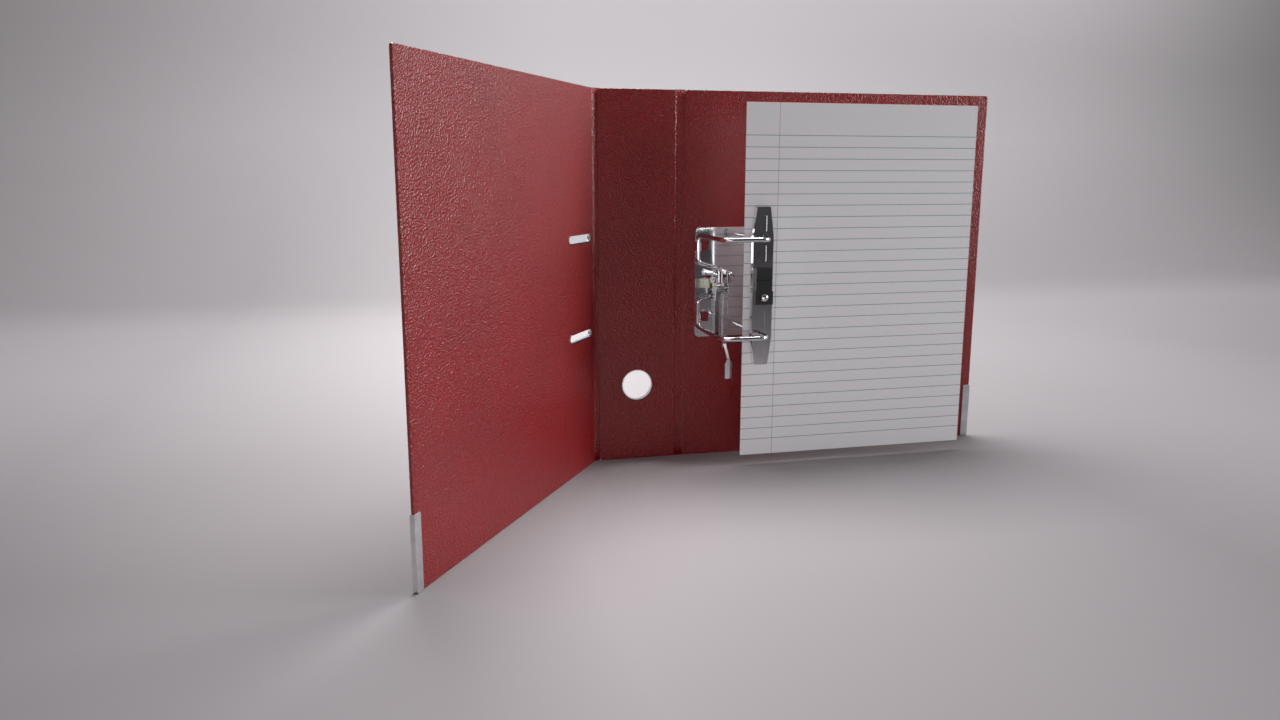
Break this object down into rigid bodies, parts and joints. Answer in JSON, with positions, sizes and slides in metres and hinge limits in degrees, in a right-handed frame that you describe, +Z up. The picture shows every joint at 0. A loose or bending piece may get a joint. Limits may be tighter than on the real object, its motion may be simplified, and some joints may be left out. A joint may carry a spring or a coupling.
{
  "type": "lever arch file",
  "caption": "Upright lever arch file, open, with a red film cover, a chrome lever arch mechanism, a paper clamp and a lined sheet on its posts.",
  "frame": {"origin": "bottom centre of the file's box as it stands upright with the front cover folded forward", "axes": "+Z up along the spine, +X along the back cover towards its free edge, -Y out of the back cover's inner face towards the reader"},
  "size_m": [0.5244, 0.247, 0.318],
  "materials": {
    "red_film": "pebble grain",
    "cardboard": "raw",
    "chrome": "polished",
    "shoe_steel": "satin",
    "pin_steel": "turned",
    "spring_steel": "rolled",
    "black_plastic": "satin",
    "clear_plastic": "clear film",
    "label_paper": "smooth",
    "sheet_paper": "ruled"
  },
  "bodies": {
    "back_cover": {"back_board": "cardboard", "back_outer_skin": "red_film", "back_inner_skin": "red_film", "back_edge_shoe": "shoe_steel", "base_plate": "chrome", "plate_rivets": "pin_steel", "upper_post": "chrome", "lower_post": "chrome", "lever_bracket": "chrome", "lever_pins": "pin_steel", "opening_spring": "spring_steel"},
    "spine": {"spine_board": "cardboard", "spine_outer_skin": "red_film", "spine_inner_skin": "red_film", "finger_ring": "chrome", "label_pocket": "clear_plastic", "label_card": "label_paper", "back_hinge_web": "red_film"},
    "front_cover": {"front_board": "cardboard", "front_outer_skin": "red_film", "front_inner_skin": "red_film", "front_edge_shoe": "shoe_steel", "upper_slot_eyelet": "chrome", "lower_slot_eyelet": "chrome", "front_hinge_web": "red_film"},
    "arch": {"arch_wire": "chrome"},
    "lever": {"lever": "chrome", "roller_pin": "pin_steel"},
    "roller": {"lever_roller": "pin_steel"},
    "compressor": {"compressor_bar": "chrome", "lock_spring": "spring_steel"},
    "lock": {"lock_slider": "black_plastic", "lock_plate": "pin_steel", "lock_rivet": "chrome"},
    "paper": {"lined_sheet": "sheet_paper"}
  },
  "joints": [
    {"name": "back_hinge", "type": "hinge", "parent": "back_cover", "child": "spine", "pos_m": [-0.02826, 0.12184, 0.159], "axis": [0, 0, -1], "range_deg": [-90, 0], "deforming": ["back_hinge_web"]},
    {"name": "front_hinge", "type": "hinge", "parent": "spine", "child": "front_cover", "pos_m": [-0.10386, 0.12184, 0.159], "axis": [0, 0, -1], "range_deg": [-32.7, 57.3], "deforming": ["front_hinge_web"]},
    {"name": "lever_pivot", "type": "hinge", "parent": "back_cover", "child": "lever", "pos_m": [0.00669, 0.10654, 0.161], "axis": [-1, 0, 0], "range_deg": [0, 90]},
    {"name": "arch_pivot", "type": "hinge", "parent": "back_cover", "child": "arch", "pos_m": [-0.01226, 0.11704, 0.1565], "axis": [0, 0, -1], "range_deg": [0, 43.2]},
    {"name": "roller_spin", "type": "hinge", "parent": "lever", "child": "roller", "pos_m": [0.00669, 0.11194, 0.1516], "axis": [1, 0, 0], "continuous": true},
    {"name": "compressor_slide", "type": "slide", "parent": "back_cover", "child": "compressor", "axis": [0, -1, 0], "range_m": [-0.043, 0]},
    {"name": "lock_slide", "type": "slide", "parent": "compressor", "child": "lock", "axis": [0, 0, 1], "range_m": [0, 0.0035]},
    {"name": "paper_slide", "type": "slide", "parent": "back_cover", "child": "paper", "axis": [0, -1, 0], "range_m": [-0.038, 0]}
  ],
  "couplings": [
    {"joint": "arch_pivot", "follows": "lever_pivot", "ratio": 0.48},
    {"joint": "paper_slide", "follows": "compressor_slide", "ratio": 0.88}
  ]
}
